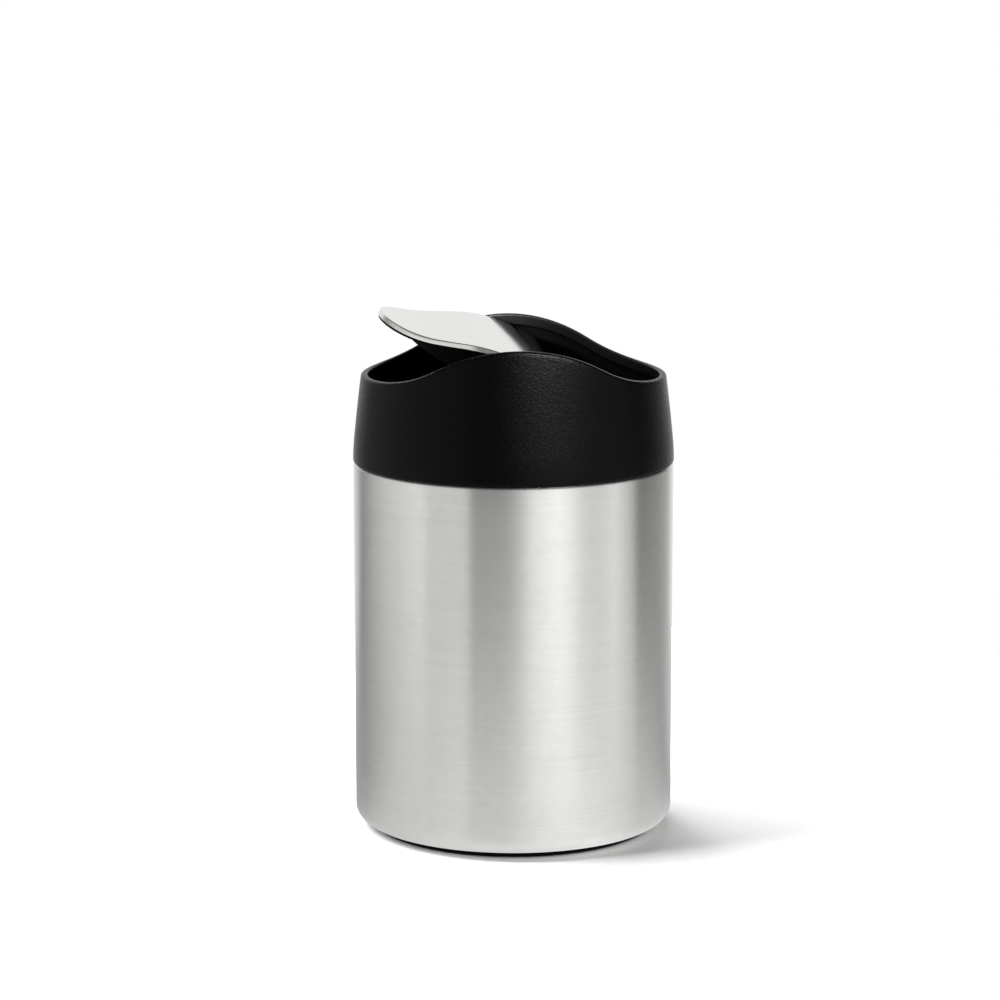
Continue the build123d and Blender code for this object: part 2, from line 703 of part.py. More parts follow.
PIECES = {
    "outer_shell": outer_shell(),
    "mouth_collar": mouth_collar(),
    "base_pan": base_pan(),
    "foot_ring": foot_ring(),
    "inner_bucket": inner_bucket(),
    "rim_ring": rim_ring(),
    "grip_band": grip_band(),
    "chute_liner": chute_liner(),
    "bush_front": bush(180),
    "bush_rear": bush(0),
    "liner_screws": liner_screws(),
    "stop_pads": stop_pads(),
    "lid_skin": in_lid_place(lid_skin()),
    "lid_carrier": in_lid_place(lid_carrier()),
    "pivot_pin_front": in_lid_place(pivot_pin(180)),
    "pivot_pin_rear": in_lid_place(pivot_pin(0)),
    "pin_clips": in_lid_place(pin_clips()),
    "balance_weight": in_lid_place(balance_weight()),
    "weight_cover": in_lid_place(weight_cover()),
    "cover_screws": in_lid_place(cover_screws()),
}

os.makedirs("parts", exist_ok=True)
for name, piece in PIECES.items():
    export_step(piece, f"parts/{name}.step")
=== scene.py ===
"""Dresses the push top countertop bin: steel drum, black ring and polished see-saw lid."""

import logging
import math
from dataclasses import dataclass
from enum import Enum
from typing import Callable, ClassVar, Iterable, Sequence

import bmesh
import bpy
from mathutils import Matrix, Vector


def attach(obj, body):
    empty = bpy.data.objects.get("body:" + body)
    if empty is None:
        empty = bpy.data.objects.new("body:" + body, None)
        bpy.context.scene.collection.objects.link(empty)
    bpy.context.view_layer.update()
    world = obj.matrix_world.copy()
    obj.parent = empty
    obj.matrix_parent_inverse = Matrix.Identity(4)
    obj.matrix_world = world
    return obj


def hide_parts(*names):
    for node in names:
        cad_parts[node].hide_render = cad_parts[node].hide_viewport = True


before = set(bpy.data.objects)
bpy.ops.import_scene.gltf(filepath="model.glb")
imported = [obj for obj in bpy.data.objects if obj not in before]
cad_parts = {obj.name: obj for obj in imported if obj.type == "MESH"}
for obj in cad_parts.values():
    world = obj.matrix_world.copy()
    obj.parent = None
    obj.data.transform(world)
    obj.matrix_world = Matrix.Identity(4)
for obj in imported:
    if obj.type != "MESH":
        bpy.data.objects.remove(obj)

LOG = logging.getLogger("countertop_bin")
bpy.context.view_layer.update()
MM = 0.001
CRISP_ANGLE = 32.0
COPY_MERGE = 2e-6
SPIN_MERGE = 1e-7
FINER_BRUSHING = 2.3


# ---------------------------------------------------------------------------
# Node trees
# ---------------------------------------------------------------------------


class Wiring:
    """Places nodes in one tree and joins their sockets."""

    def __init__(self, tree: bpy.types.NodeTree) -> None:
        """Start on a tree.

        Args:
            tree: The material, world or group tree to work in.
        """
        self.tree = tree

    def add(self, kind: str, **settings: object) -> bpy.types.Node:
        """Add a node.

        Args:
            kind: The node's type name.
            settings: Properties to set on the node.

        Returns:
            The new node.
        """
        node = self.tree.nodes.new(kind)
        for name, value in settings.items():
            setattr(node, name, value)
        return node

    def feed(self, socket: bpy.types.NodeSocket, value: object) -> None:
        """Give a socket its value.

        Args:
            socket: The input socket.
            value: Another socket to join to it, or a constant.
        """
        if isinstance(value, bpy.types.NodeSocket):
            self.tree.links.new(value, socket)
        else:
            socket.default_value = value

    def feed_all(self, node: bpy.types.Node, values: Iterable[object]) -> bpy.types.NodeSocket:
        """Feed a node's inputs in their order.

        Args:
            node: The node.
            values: Sockets or constants.

        Returns:
            The node's first output.
        """
        for socket, value in zip(node.inputs, values):
            self.feed(socket, value)
        return node.outputs[0]

    def math(self, operation: str, *values: object, clamp: bool = False) -> bpy.types.NodeSocket:
        """Add a Math node.

        Args:
            operation: The node's operation.
            values: Sockets or numbers, in the order of the node's inputs.
            clamp: Whether the result is kept between 0 and 1.

        Returns:
            The result socket.
        """
        return self.feed_all(self.add("ShaderNodeMath", operation=operation, use_clamp=clamp), values)

    def vector_math(self, operation: str, *values: object) -> bpy.types.NodeSocket:
        """Add a Vector Math node.

        Args:
            operation: The node's operation.
            values: Sockets or vectors, in the order of the node's inputs.

        Returns:
            The vector socket.
        """
        return self.feed_all(self.add("ShaderNodeVectorMath", operation=operation), values)

    def remap(
        self, value: object, start: float, end: float, low: object, high: object
    ) -> bpy.types.NodeSocket:
        """Map a value from one range to another, clamped.

        Args:
            value: The socket to map.
            start: Where the source range starts.
            end: Where the source range ends.
            low: The result at the start.
            high: The result at the end.

        Returns:
            The mapped value.
        """
        node = self.add("ShaderNodeMapRange")
        self.feed_all(node, (value, start, end, low, high))
        return node.outputs["Result"]

    def blend(self, factor: object, first: object, second: object) -> bpy.types.NodeSocket:
        """Mix two colours.

        Args:
            factor: How much of the second colour shows.
            first: The first colour.
            second: The second colour.

        Returns:
            The mixed colour.
        """
        node = self.add("ShaderNodeMix", data_type="RGBA")
        for index, item in ((0, factor), (6, first), (7, second)):
            self.feed(node.inputs[index], item)
        return node.outputs[2]

    def noise(
        self, vector: object, scale: object, detail: float = 2.0, rough: float = 0.5
    ) -> bpy.types.NodeSocket:
        """Add a Noise texture.

        Args:
            vector: The coordinates.
            scale: The texture's scale.
            detail: How many finer layers it has.
            rough: How strong the finer layers are.

        Returns:
            The noise value, 0 to 1.
        """
        node = self.add("ShaderNodeTexNoise")
        self.feed(node.inputs["Vector"], vector)
        self.feed(node.inputs["Scale"], scale)
        node.inputs["Detail"].default_value = detail
        node.inputs["Roughness"].default_value = rough
        return node.outputs[0]

    def object_place(self) -> bpy.types.NodeSocket:
        """The place on the piece, in metres, in the shared frame."""
        return self.add("ShaderNodeTexCoord").outputs["Object"]

    def use(self, group: bpy.types.NodeTree, **values: object) -> bpy.types.Node:
        """Place a node group.

        Args:
            group: The group.
            values: Its inputs, by name with spaces as underscores.

        Returns:
            The group node.
        """
        node = self.add("ShaderNodeGroup", node_tree=group)
        for name, value in values.items():
            self.feed(node.inputs[name.replace("_", " ")], value)
        return node


@dataclass(frozen=True)
class Port:
    """One input of a node group."""

    name: str
    value: float


@dataclass(frozen=True)
class Effect:
    """A surface effect that several finishes share, kept as one node group."""

    name: str
    ports: tuple[Port, ...]
    outputs: tuple[str, ...]
    wire: Callable[[Wiring, bpy.types.Node, bpy.types.Node], None]

    def group(self) -> bpy.types.NodeTree:
        """Build the group once, and return the same one afterwards."""
        ready = bpy.data.node_groups.get(self.name)
        if ready:
            return ready
        tree = bpy.data.node_groups.new(self.name, "ShaderNodeTree")
        for port in self.ports:
            socket = tree.interface.new_socket(port.name, in_out="INPUT", socket_type="NodeSocketFloat")
            socket.default_value = port.value
        for name in self.outputs:
            tree.interface.new_socket(name, in_out="OUTPUT", socket_type="NodeSocketFloat")
        wiring = Wiring(tree)
        self.wire(wiring, wiring.add("NodeGroupInput"), wiring.add("NodeGroupOutput"))
        return tree


def wire_brush_marks(wiring: Wiring, given: bpy.types.Node, result: bpy.types.Node) -> None:
    """Long fine marks that run level round the drum.

    Args:
        wiring: The group's wiring.
        given: The group's input node.
        result: The group's output node.
    """
    place = wiring.object_place()
    marks = []
    for share in (1.0, FINER_BRUSHING):
        reach = wiring.math("MULTIPLY", given.outputs["Along"], share)
        pitch = wiring.math("MULTIPLY", given.outputs["Across"], share)
        stretch = wiring.add("ShaderNodeCombineXYZ")
        for axis, value in zip("XYZ", (reach, reach, pitch)):
            wiring.feed(stretch.inputs[axis], value)
        drawn = wiring.vector_math("MULTIPLY", place, stretch.outputs[0])
        marks.append(wiring.noise(drawn, 1.0, 3.0, 0.65))
    both = wiring.math("ADD", *marks)
    wiring.feed(result.inputs["Mark"], wiring.math("MULTIPLY", both, 0.5))


def wire_mould_grain(wiring: Wiring, given: bpy.types.Node, result: bpy.types.Node) -> None:
    """The fine spark-eroded grain of moulded plastic.

    Args:
        wiring: The group's wiring.
        given: The group's input node.
        result: The group's output node.
    """
    place = wiring.object_place()
    fine = wiring.noise(place, given.outputs["Scale"], 2.0, 0.6)
    coarse = wiring.noise(place, wiring.math("MULTIPLY", given.outputs["Scale"], 0.35), 1.0, 0.5)
    height = wiring.math("ADD", wiring.math("MULTIPLY", fine, 0.7), wiring.math("MULTIPLY", coarse, 0.3))
    wiring.feed(result.inputs["Height"], height)


def wire_mottle(wiring: Wiring, given: bpy.types.Node, result: bpy.types.Node) -> None:
    """Slow cloudy variation that keeps a surface from looking flat.

    Args:
        wiring: The group's wiring.
        given: The group's input node.
        result: The group's output node.
    """
    cloud = wiring.noise(wiring.object_place(), given.outputs["Scale"], 4.0, 0.55)
    value = wiring.remap(cloud, 0.3, 0.7, given.outputs["Low"], given.outputs["High"])
    wiring.feed(result.inputs["Value"], value)


def wire_edge_wear(wiring: Wiring, given: bpy.types.Node, result: bpy.types.Node) -> None:
    """A mask of the outer edges, broken up as handling wears them.

    Args:
        wiring: The group's wiring.
        given: The group's input node.
        result: The group's output node.
    """
    ridge = wiring.add("ShaderNodeNewGeometry").outputs["Pointiness"]
    edge = wiring.remap(ridge, 0.51, 0.56, 0.0, 1.0)
    patch = wiring.noise(wiring.object_place(), 160.0, 3.0, 0.6)
    worn = wiring.math("MULTIPLY", edge, wiring.remap(patch, 0.35, 0.65, 0.3, 1.0))
    wiring.feed(result.inputs["Mask"], wiring.math("MULTIPLY", worn, given.outputs["Amount"], clamp=True))


def wire_dust(wiring: Wiring, given: bpy.types.Node, result: bpy.types.Node) -> None:
    """A mask of the thin dust that settles where a surface faces up.

    Args:
        wiring: The group's wiring.
        given: The group's input node.
        result: The group's output node.
    """
    normal = wiring.add("ShaderNodeTexCoord").outputs["Normal"]
    split = wiring.add("ShaderNodeSeparateXYZ")
    wiring.feed(split.inputs[0], normal)
    facing = wiring.remap(split.outputs["Z"], 0.35, 1.0, 0.0, 1.0)
    specks = wiring.remap(wiring.noise(wiring.object_place(), 420.0, 5.0, 0.7), 0.42, 0.68, 0.0, 1.0)
    mask = wiring.math("MULTIPLY", facing, specks)
    wiring.feed(result.inputs["Mask"], wiring.math("MULTIPLY", mask, given.outputs["Amount"], clamp=True))


def wire_smears(wiring: Wiring, given: bpy.types.Node, result: bpy.types.Node) -> None:
    """Faint wiped smears on polished metal.

    Args:
        wiring: The group's wiring.
        given: The group's input node.
        result: The group's output node.
    """
    stretched = wiring.vector_math("MULTIPLY", wiring.object_place(), (1.0, 0.35, 1.0))
    bend = wiring.add("ShaderNodeTexNoise")
    wiring.feed(bend.inputs["Vector"], stretched)
    wiring.feed(bend.inputs["Scale"], given.outputs["Scale"])
    bend.inputs["Detail"].default_value = 4.0
    bend.inputs["Distortion"].default_value = 1.2
    wiring.feed(result.inputs["Mask"], wiring.remap(bend.outputs[0], 0.45, 0.75, 0.0, 1.0))


BRUSH_MARKS = Effect(
    "brush_marks", (Port("Along", 9.0), Port("Across", 2200.0)), ("Mark",), wire_brush_marks
)
MOULD_GRAIN = Effect("mould_grain", (Port("Scale", 2000.0),), ("Height",), wire_mould_grain)
MOTTLE = Effect(
    "mottle", (Port("Scale", 30.0), Port("Low", 0.9), Port("High", 1.1)), ("Value",), wire_mottle
)
EDGE_WEAR = Effect("edge_wear", (Port("Amount", 0.5),), ("Mask",), wire_edge_wear)
SETTLED_DUST = Effect("settled_dust", (Port("Amount", 0.2),), ("Mask",), wire_dust)
SMEARS = Effect("wiped_smears", (Port("Scale", 24.0),), ("Mask",), wire_smears)


# ---------------------------------------------------------------------------
# Finishes
# ---------------------------------------------------------------------------

Colour = tuple[float, float, float]
DUST_COLOUR = (0.42, 0.40, 0.37, 1.0)


@dataclass(frozen=True)
class Finish:
    """What every finish has: a name, a colour and a roughness."""

    name: str
    colour: Colour
    roughness: float

    def material(self) -> bpy.types.Material:
        """Build the material once, and return the same one afterwards."""
        ready = bpy.data.materials.get(self.name)
        if ready:
            return ready
        material = bpy.data.materials.new(self.name)
        material.use_nodes = True
        tree = material.node_tree
        shader = next(node for node in tree.nodes if node.type == "BSDF_PRINCIPLED")
        shader.inputs["Base Color"].default_value = (*self.colour, 1.0)
        shader.inputs["Roughness"].default_value = self.roughness
        self.wire(Wiring(tree), shader)
        return material

    def wire(self, wiring: Wiring, shader: bpy.types.Node) -> None:
        """Wire the finish's own detail into its shader."""
        raise NotImplementedError

    def vary(self, wiring: Wiring, shader: bpy.types.Node, scale: float, spread: float) -> None:
        """Let the roughness drift slowly over the surface.

        Args:
            wiring: The material's wiring.
            shader: The shader to feed.
            scale: Scale of the drift.
            spread: How far it goes each way, as a share of the roughness.
        """
        low = self.roughness * (1 - spread)
        high = self.roughness * (1 + spread)
        drift = wiring.use(MOTTLE.group(), Scale=scale, Low=low, High=high)
        wiring.feed(shader.inputs["Roughness"], drift.outputs["Value"])

    def emboss(
        self, wiring: Wiring, shader: bpy.types.Node, height: object, depth: float, strength: float
    ) -> None:
        """Feed a height through a bump into the shader.

        Args:
            wiring: The material's wiring.
            shader: The shader to feed.
            height: The height socket, 0 to 1.
            depth: The height of the relief, in metres.
            strength: The strength of the bump.
        """
        bump = wiring.add("ShaderNodeBump")
        bump.inputs["Strength"].default_value = strength
        bump.inputs["Distance"].default_value = depth
        wiring.feed(bump.inputs["Height"], height)
        wiring.feed(shader.inputs["Normal"], bump.outputs["Normal"])

    def shade(self, share: float) -> tuple[float, float, float, float]:
        """The finish's colour, made lighter or darker.

        Args:
            share: What each channel is multiplied by.

        Returns:
            The colour with its alpha.
        """
        return (*(channel * share for channel in self.colour), 1.0)


@dataclass(frozen=True)
class BrushedSteel(Finish):
    """Steel brushed level round the drum."""

    anisotropy: float = 0.97
    turned: float = 0.25
    along: float = 11.0
    across: float = 2200.0
    mark_depth: float = 0.00002
    mark_strength: float = 0.2

    def wire(self, wiring: Wiring, shader: bpy.types.Node) -> None:
        """Long level marks in the colour, roughness and relief, with the grain's blur across them."""
        shader.inputs["Metallic"].default_value = 1.0
        shader.inputs["Anisotropic"].default_value = self.anisotropy
        shader.inputs["Anisotropic Rotation"].default_value = self.turned
        tangent = wiring.add("ShaderNodeTangent", direction_type="RADIAL", axis="Z")
        wiring.feed(shader.inputs["Tangent"], tangent.outputs[0])
        marks = wiring.use(BRUSH_MARKS.group(), Along=self.along, Across=self.across).outputs["Mark"]
        cloud = wiring.use(MOTTLE.group(), Scale=260.0, Low=0.0, High=1.0).outputs["Value"]
        streak = wiring.remap(marks, 0.36, 0.64, 0.0, 1.0)
        mixed = wiring.math("ADD", wiring.math("MULTIPLY", streak, 0.7), wiring.math("MULTIPLY", cloud, 0.3))
        tone = wiring.blend(mixed, self.shade(0.93), self.shade(1.05))
        wiring.feed(shader.inputs["Base Color"], tone)
        rough = wiring.remap(mixed, 0.0, 1.0, self.roughness * 1.06, self.roughness * 0.95)
        wiring.feed(shader.inputs["Roughness"], rough)
        self.emboss(wiring, shader, marks, self.mark_depth, self.mark_strength)


@dataclass(frozen=True)
class PolishedSteel(Finish):
    """Steel polished to a mirror, with faint wiping smears."""

    smear_scale: float = 24.0
    smear_roughness: float = 1.3
    smear_tone: float = 0.975

    def wire(self, wiring: Wiring, shader: bpy.types.Node) -> None:
        """Smears that lift the roughness a little, and a faint tone drift."""
        shader.inputs["Metallic"].default_value = 1.0
        smears = wiring.use(SMEARS.group(), Scale=self.smear_scale).outputs["Mask"]
        rough = wiring.remap(smears, 0.0, 1.0, self.roughness, self.roughness * self.smear_roughness)
        wiring.feed(shader.inputs["Roughness"], rough)
        tone = wiring.blend(smears, self.shade(1.0), self.shade(self.smear_tone))
        wiring.feed(shader.inputs["Base Color"], tone)


@dataclass(frozen=True)
class MouldedPlastic(Finish):
    """Moulded plastic with a spark-eroded grain, softly worn edges and a trace of dust."""

    shine: float = 0.5
    grain_scale: float = 2000.0
    grain_depth: float = 0.00008
    grain_strength: float = 0.35
    wear: float = 0.25
    wear_polish: float = -0.18
    dust: float = 0.03

    def wire(self, wiring: Wiring, shader: bpy.types.Node) -> None:
        """Grain relief, edge wear, drifting roughness and settled dust."""
        shader.inputs["Specular IOR Level"].default_value = self.shine
        grain = wiring.use(MOULD_GRAIN.group(), Scale=self.grain_scale).outputs["Height"]
        self.emboss(wiring, shader, grain, self.grain_depth, self.grain_strength)
        wear = wiring.use(EDGE_WEAR.group(), Amount=self.wear).outputs["Mask"]
        dust = wiring.use(SETTLED_DUST.group(), Amount=self.dust).outputs["Mask"]
        fleck = wiring.blend(grain, self.shade(0.75), self.shade(1.3))
        rubbed = wiring.blend(wear, fleck, self.shade(2.2))
        wiring.feed(shader.inputs["Base Color"], wiring.blend(dust, rubbed, DUST_COLOUR))
        drift = wiring.use(MOTTLE.group(), Scale=45.0, Low=self.roughness * 0.92, High=self.roughness * 1.08)
        smooth = wiring.math("MULTIPLY", wear, self.wear_polish)
        rough = wiring.math("ADD", drift.outputs["Value"], smooth, clamp=True)
        wiring.feed(shader.inputs["Roughness"], rough)


@dataclass(frozen=True)
class SoftRubber(Finish):
    """Matt rubber with a soft bloom and caught dust."""

    shine: float = 0.35
    grain_scale: float = 3200.0
    grain_depth: float = 0.00005
    grain_strength: float = 0.25
    bloom_scale: float = 90.0
    dust: float = 0.15

    def wire(self, wiring: Wiring, shader: bpy.types.Node) -> None:
        """Fine relief, a bloom that drifts and some dust."""
        shader.inputs["Specular IOR Level"].default_value = self.shine
        grain = wiring.use(MOULD_GRAIN.group(), Scale=self.grain_scale).outputs["Height"]
        self.emboss(wiring, shader, grain, self.grain_depth, self.grain_strength)
        bloom = wiring.use(MOTTLE.group(), Scale=self.bloom_scale, Low=0.0, High=1.0).outputs["Value"]
        tone = wiring.blend(bloom, self.shade(0.85), self.shade(1.35))
        dust = wiring.use(SETTLED_DUST.group(), Amount=self.dust).outputs["Mask"]
        wiring.feed(shader.inputs["Base Color"], wiring.blend(dust, tone, DUST_COLOUR))
        self.vary(wiring, shader, 70.0, 0.1)


@dataclass(frozen=True)
class TurnedSteel(Finish):
    """Plain or plated steel of pins, weight and fasteners, with machining marks."""

    mark_scale: float = 1500.0
    mark_depth: float = 0.00002
    mark_strength: float = 0.2

    def wire(self, wiring: Wiring, shader: bpy.types.Node) -> None:
        """Fine machining relief and a slow drift of tone."""
        shader.inputs["Metallic"].default_value = 1.0
        marks = wiring.use(MOULD_GRAIN.group(), Scale=self.mark_scale).outputs["Height"]
        self.emboss(wiring, shader, marks, self.mark_depth, self.mark_strength)
        drift = wiring.use(MOTTLE.group(), Scale=140.0, Low=0.0, High=1.0).outputs["Value"]
        wiring.feed(shader.inputs["Base Color"], wiring.blend(drift, self.shade(0.85), self.shade(1.08)))
        self.vary(wiring, shader, 200.0, 0.2)


class Slot(Enum):
    """The record's material slots, each with the finish it gets."""

    SHELL = ("brushed_shell_steel", BrushedSteel("brushed_shell", (0.66, 0.655, 0.64), 0.29))
    RING = (
        "textured_black_plastic",
        MouldedPlastic(
            "ring_grain_black",
            (0.0006, 0.0006, 0.0007),
            0.28,
            shine=0.07,
            grain_scale=1800.0,
            grain_depth=0.0003,
            grain_strength=0.5,
        ),
    )
    INNER = (
        "black_plastic",
        MouldedPlastic(
            "inner_black", (0.001, 0.001, 0.001), 0.45, shine=0.03, grain_scale=2600.0, grain_strength=0.2
        ),
    )
    BUCKET = (
        "bucket_plastic",
        MouldedPlastic(
            "bucket_grey", (0.03, 0.031, 0.033), 0.42, shine=0.45, grain_scale=2400.0, grain_strength=0.15
        ),
    )
    RUBBER = ("soft_rubber", SoftRubber("soft_black_rubber", (0.011, 0.011, 0.012), 0.78))
    BEARING = (
        "bearing_plastic",
        MouldedPlastic("bearing_cream", (0.62, 0.58, 0.48), 0.38, grain_scale=3000.0, grain_strength=0.08),
    )
    LID = ("polished_lid_steel", PolishedSteel("polished_lid", (0.715, 0.715, 0.685), 0.09))
    PIN = ("pin_steel", TurnedSteel("ground_pin", (0.58, 0.57, 0.55), 0.22))
    WEIGHT = ("weight_steel", TurnedSteel("plated_weight", (0.42, 0.42, 0.43), 0.4, mark_scale=900.0))
    FASTENER = ("fastener_steel", TurnedSteel("plated_screw", (0.5, 0.5, 0.52), 0.3))

    @property
    def slot_name(self) -> str:
        """The slot's name in the record."""
        return self.value[0]

    @property
    def finish(self) -> Finish:
        """The finish that the slot's pieces get."""
        return self.value[1]


# In the order of the ring's material slots: the lip's inner half, then the wall under the lip; lit and
# shaded copies of one black plastic, painted light on the lip band and painted shade under the lip.
RING_LIT_AND_SHADED_FINISHES = (
    MouldedPlastic("ring_lip_painted_light_black", (0.003, 0.003, 0.003), 0.4, shine=0.5, grain_strength=0.15),
    MouldedPlastic("ring_undercut_painted_shade_black", (0.002, 0.002, 0.002), 0.45, shine=0.2, grain_strength=0.15),
)


# ---------------------------------------------------------------------------
# Mesh tools
# ---------------------------------------------------------------------------


@dataclass(frozen=True)
class Corner:
    """One corner of a closed section, in millimetres from the axis and the floor."""

    out: float
    up: float
    rounding: float = 0.0


@dataclass(frozen=True)
class Section:
    """A closed section that is spun round the drum's axis."""

    corners: tuple[Corner, ...]
    longest: float = 8.0
    arc_steps: int = 6

    def wire(self) -> bmesh.types.BMesh:
        """Draw the section in the XZ plane, rounded and divided."""
        drawn = bmesh.new()
        points = [drawn.verts.new((corner.out * MM, 0.0, corner.up * MM)) for corner in self.corners]
        for before, after in zip(points[-1:] + points[:-1], points):
            drawn.edges.new((before, after))
        for corner, point in zip(self.corners, points):
            if corner.rounding:
                self.round_off(drawn, point, corner.rounding * MM)
        for edge in list(drawn.edges):
            cuts = math.ceil(edge.calc_length() / (self.longest * MM)) - 1
            if cuts > 0:
                bmesh.ops.subdivide_edges(drawn, edges=[edge], cuts=cuts)
        return drawn

    def round_off(self, drawn: bmesh.types.BMesh, point: bmesh.types.BMVert, radius: float) -> None:
        """Turn one corner of the section into an arc.

        Args:
            drawn: The section's mesh.
            point: The corner.
            radius: The arc's radius, in metres.
        """
        first, second = (edge.other_vert(point).co - point.co for edge in point.link_edges)
        offset = radius / math.tan(first.angle(second) / 2)
        bmesh.ops.bevel(
            drawn,
            geom=[point],
            offset=offset,
            offset_type="OFFSET",
            segments=self.arc_steps,
            profile=0.5,
            affect="VERTICES",
            material=-1,
        )

    def spun(self, steps: int) -> bmesh.types.BMesh:
        """Spin the section full circle.

        Args:
            steps: How many steps the circle has.

        Returns:
            The closed mesh, with its faces outwards.
        """
        drawn = self.wire()
        bmesh.ops.spin(
            drawn,
            geom=drawn.verts[:] + drawn.edges[:],
            cent=(0.0, 0.0, 0.0),
            axis=(0.0, 0.0, 1.0),
            angle=math.tau,
            steps=steps,
            use_merge=True,
        )
        bmesh.ops.remove_doubles(drawn, verts=drawn.verts[:], dist=SPIN_MERGE)
        bmesh.ops.recalc_face_normals(drawn, faces=drawn.faces[:])
        return drawn


@dataclass(frozen=True)
class Wave:
    """A crest arc, a straight flank and a trough arc, level beyond them, in millimetres and degrees."""

    crest: float
    crest_radius: float
    slope: float
    flank: float
    trough_radius: float

    def height(self, across: float) -> float:
        """Height of the wave at a distance from its crest.

        Args:
            across: The distance.

        Returns:
            The height.
        """
        across = abs(across)
        slope = math.radians(self.slope)
        crest_end = self.crest_radius * math.sin(slope)
        flank_end = crest_end + self.flank * math.cos(slope)
        trough_end = flank_end + self.trough_radius * math.sin(slope)
        crest_drop = self.crest_radius * (1 - math.cos(slope))
        flank_drop = self.flank * math.sin(slope)
        trough_drop = self.trough_radius * (1 - math.cos(slope))
        if across < crest_end:
            return self.crest - self.crest_radius + math.sqrt(self.crest_radius**2 - across**2)
        if across < flank_end:
            return self.crest - crest_drop - (across - crest_end) * math.tan(slope)
        rest = max(trough_end - across, 0.0)
        floor = self.crest - crest_drop - flank_drop - trough_drop
        return floor + self.trough_radius - math.sqrt(self.trough_radius**2 - rest**2)


def crisp(mesh: bmesh.types.BMesh) -> None:
    """Smooth every face and keep the edges that turn sharply crisp.

    Args:
        mesh: The mesh.
    """
    limit = math.radians(CRISP_ANGLE)
    for face in mesh.faces:
        face.smooth = True
    for edge in mesh.edges:
        edge.smooth = len(edge.link_faces) == 2 and edge.calc_face_angle(0.0) < limit


def finished(name: str, mesh: bmesh.types.BMesh, slot: Slot) -> bpy.types.Object:
    """Turn a mesh into a scene object with its finish.

    Args:
        name: The piece's name.
        mesh: The finished mesh, which is freed.
        slot: The slot that gives its finish.

    Returns:
        The new object, at the origin.
    """
    crisp(mesh)
    data = bpy.data.meshes.new(name)
    mesh.to_mesh(data)
    mesh.free()
    data.materials.append(slot.finish.material())
    piece = bpy.data.objects.new(name, data)
    bpy.context.scene.collection.objects.link(piece)
    return piece


def smooth_copy(node: str, name: str, slot: Slot) -> bpy.types.Object:
    """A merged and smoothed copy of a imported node.

    Args:
        node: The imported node's name.
        name: The new piece's name.
        slot: The slot that gives its finish.

    Returns:
        The new object, which stands for the node.
    """
    mesh = bmesh.new()
    mesh.from_mesh(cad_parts[node].data)
    bmesh.ops.remove_doubles(mesh, verts=mesh.verts[:], dist=COPY_MERGE)
    piece = finished(name, mesh, slot)
    evened = piece.modifiers.new("even_normals", "WEIGHTED_NORMAL")
    evened.keep_sharp = True
    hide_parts(node)
    return piece


# ---------------------------------------------------------------------------
# The bin's sub-assemblies
# ---------------------------------------------------------------------------


@dataclass(frozen=True)
class Copied:
    """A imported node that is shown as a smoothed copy."""

    node: str
    name: str
    slot: Slot


class SubAssembly:
    """What every sub-assembly has: a body, its copied nodes and its own pieces."""

    body: ClassVar[str]
    copied: ClassVar[tuple[Copied, ...]] = ()

    def own_pieces(self) -> Iterable[bpy.types.Object]:
        """The pieces that the sub-assembly models itself."""
        return ()

    def build(self) -> list[bpy.types.Object]:
        """Build every piece and let it ride on the body."""
        pieces = [smooth_copy(item.node, item.name, item.slot) for item in self.copied]
        pieces.extend(self.own_pieces())
        for piece in pieces:
            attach(piece, self.body)
        return pieces


